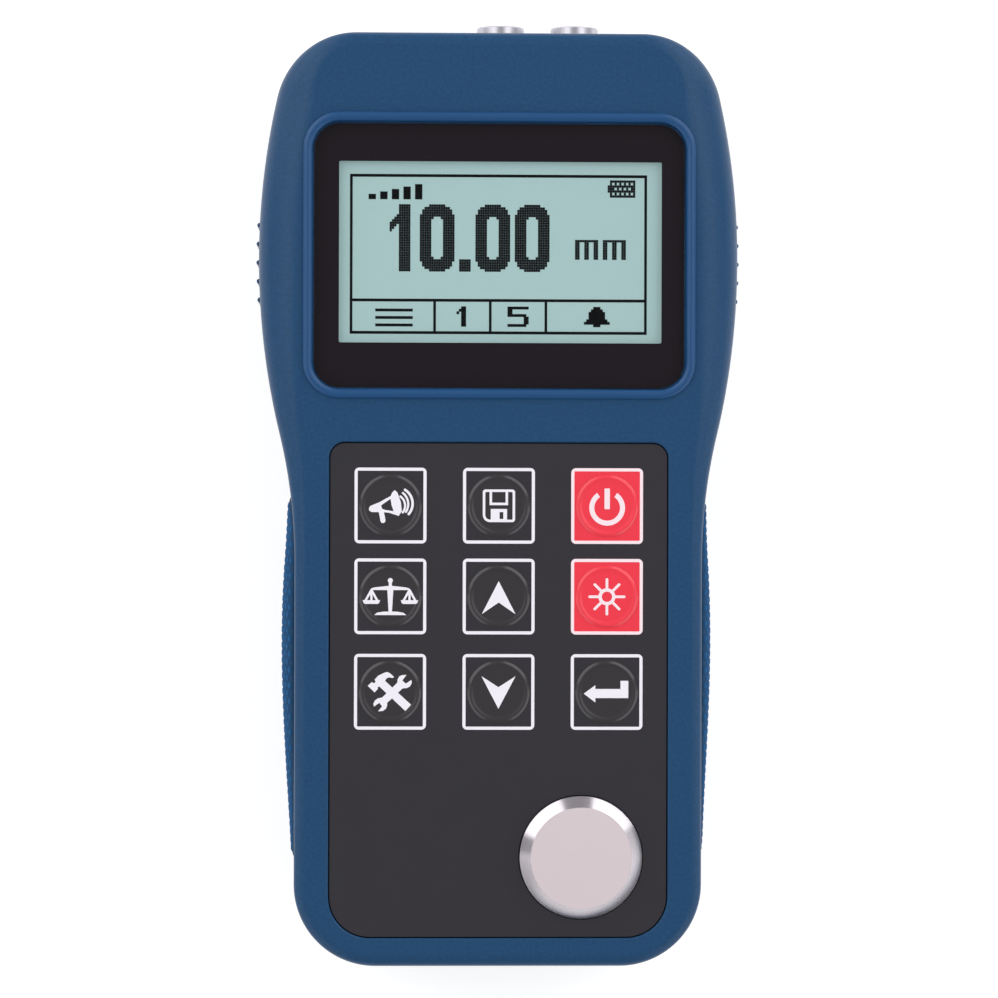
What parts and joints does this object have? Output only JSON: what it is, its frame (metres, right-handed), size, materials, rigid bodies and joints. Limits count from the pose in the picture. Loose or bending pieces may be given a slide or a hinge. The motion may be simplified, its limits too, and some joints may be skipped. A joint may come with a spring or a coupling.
{
  "type": "ultrasonic thickness gauge",
  "caption": "Handheld ultrasonic thickness gauge with a display window, membrane keys, steel test block, coaxial probe sockets, side grips and a sliding battery door.",
  "frame": {"origin": "on the flat back that the gauge lies on, half way along the housing and on its centre line", "axes": "+X to the gauge's right side, +Y to the end with the probe sockets, +Z out of the display"},
  "size_m": [0.0778, 0.1511, 0.0317],
  "materials": {
    "shell": "fine spark-eroded grain",
    "grip": "moulded diamonds",
    "screw": "black oxide",
    "window": "polished, printed black on its underside",
    "foam": "closed-cell foam",
    "lcd": "satin polariser",
    "sheet_metal": "plain",
    "light_guide": "plain",
    "contact": "gold flash",
    "overlay": "fine velvet film",
    "key": "fine velvet film",
    "red_key": "printed film",
    "circuit": "polyimide film",
    "board": "solder mask",
    "chip": "moulded epoxy",
    "cell": "plain wrap",
    "socket": "satin nickel",
    "steel": "ground face, polished bevel"
  },
  "bodies": {
    "housing": {"front_shell": "shell", "rear_shell": "shell", "socket_plate": "shell", "left_grip": "grip", "right_grip": "grip", "housing_screws": "screw", "board_screws": "screw", "window_lens": "window", "lens_gasket": "foam", "lcd_glass": "lcd", "lcd_frame": "sheet_metal", "lcd_backlight": "light_guide", "lcd_pins": "contact", "keypad_overlay": "overlay", "keypad_spacer": "light_guide", "keypad_circuit": "circuit", "snap_domes": "sheet_metal", "main_board": "board", "processor": "chip", "memory_chip": "chip", "pulser_chip": "chip", "tail_connector": "light_guide", "beeper": "chip", "battery_cell_left": "cell", "battery_cell_right": "cell", "battery_springs": "sheet_metal", "battery_plates": "sheet_metal", "socket_body_left": "socket", "socket_body_right": "socket", "socket_nut_left": "socket", "socket_nut_right": "socket", "socket_insulator_left": "light_guide", "socket_insulator_right": "light_guide", "socket_contact_left": "contact", "socket_contact_right": "contact", "test_block": "steel"},
    "alarm_button": {"key_alarm": "key"},
    "save_button": {"key_save": "key"},
    "power_button": {"key_power": "red_key"},
    "scales_button": {"key_scales": "key"},
    "up_button": {"key_up": "key"},
    "light_button": {"key_light": "red_key"},
    "tools_button": {"key_tools": "key"},
    "down_button": {"key_down": "key"},
    "enter_button": {"key_enter": "key"},
    "door": {"battery_door": "shell"}
  },
  "joints": [
    {"name": "press_alarm", "type": "slide", "parent": "housing", "child": "alarm_button", "axis": [0, 0, -1], "range_m": [0, 0.00035], "stiffness_N_per_m": 3000},
    {"name": "press_save", "type": "slide", "parent": "housing", "child": "save_button", "axis": [0, 0, -1], "range_m": [0, 0.00035], "stiffness_N_per_m": 3000},
    {"name": "press_power", "type": "slide", "parent": "housing", "child": "power_button", "axis": [0, 0, -1], "range_m": [0, 0.00035], "stiffness_N_per_m": 3000},
    {"name": "press_scales", "type": "slide", "parent": "housing", "child": "scales_button", "axis": [0, 0, -1], "range_m": [0, 0.00035], "stiffness_N_per_m": 3000},
    {"name": "press_up", "type": "slide", "parent": "housing", "child": "up_button", "axis": [0, 0, -1], "range_m": [0, 0.00035], "stiffness_N_per_m": 3000},
    {"name": "press_light", "type": "slide", "parent": "housing", "child": "light_button", "axis": [0, 0, -1], "range_m": [0, 0.00035], "stiffness_N_per_m": 3000},
    {"name": "press_tools", "type": "slide", "parent": "housing", "child": "tools_button", "axis": [0, 0, -1], "range_m": [0, 0.00035], "stiffness_N_per_m": 3000},
    {"name": "press_down", "type": "slide", "parent": "housing", "child": "down_button", "axis": [0, 0, -1], "range_m": [0, 0.00035], "stiffness_N_per_m": 3000},
    {"name": "press_enter", "type": "slide", "parent": "housing", "child": "enter_button", "axis": [0, 0, -1], "range_m": [0, 0.00035], "stiffness_N_per_m": 3000},
    {"name": "slide_door", "type": "slide", "parent": "housing", "child": "door", "axis": [0, -1, 0], "range_m": [0, 0.064]}
  ]
}
